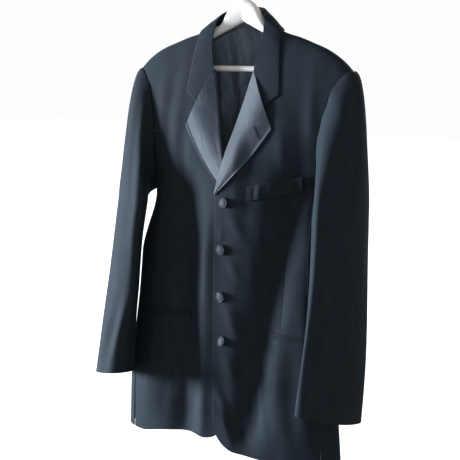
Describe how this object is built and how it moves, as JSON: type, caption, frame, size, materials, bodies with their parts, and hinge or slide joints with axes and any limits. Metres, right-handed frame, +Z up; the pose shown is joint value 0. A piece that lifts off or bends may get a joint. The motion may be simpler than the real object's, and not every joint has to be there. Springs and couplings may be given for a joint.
{
  "type": "dinner jacket on hanger",
  "caption": "Single-breasted evening jacket with satin peaked lapels, hung on a wide wooden hanger with a trouser bar.",
  "frame": {"origin": "inner top of the hanger's hook, where it lies on a rail", "axes": "+X wearer's left, -Y front of the jacket, +Z up"},
  "size_m": [0.6119, 0.2238, 0.9663],
  "materials": {
    "wool": "fine matt worsted",
    "satin": "satin-woven sheen",
    "lining": "smooth light sheen",
    "button": "satin-covered",
    "painted_wood": "white semi-gloss paint",
    "hook_steel": "polished wire"
  },
  "bodies": {
    "root": {"front_left": "wool", "front_right": "wool", "side_left": "wool", "side_right": "wool", "back_left": "wool", "back_right": "wool", "sleeve_left_upper": "wool", "sleeve_left_under": "wool", "sleeve_right_upper": "wool", "sleeve_right_under": "wool", "collar": "wool", "lapel_left": "satin", "lapel_right": "satin", "breast_welt": "wool", "hip_jetting_left": "wool", "hip_jetting_right": "wool", "button_1": "button", "button_2": "button", "button_3": "button", "button_4": "button", "cuff_button_left_1": "button", "cuff_button_left_2": "button", "cuff_button_left_3": "button", "cuff_button_right_1": "button", "cuff_button_right_2": "button", "cuff_button_right_3": "button", "lining_back": "lining", "hanger_arms": "painted_wood", "hanger_bar": "painted_wood", "hanger_hook": "hook_steel"}
  },
  "joints": []
}
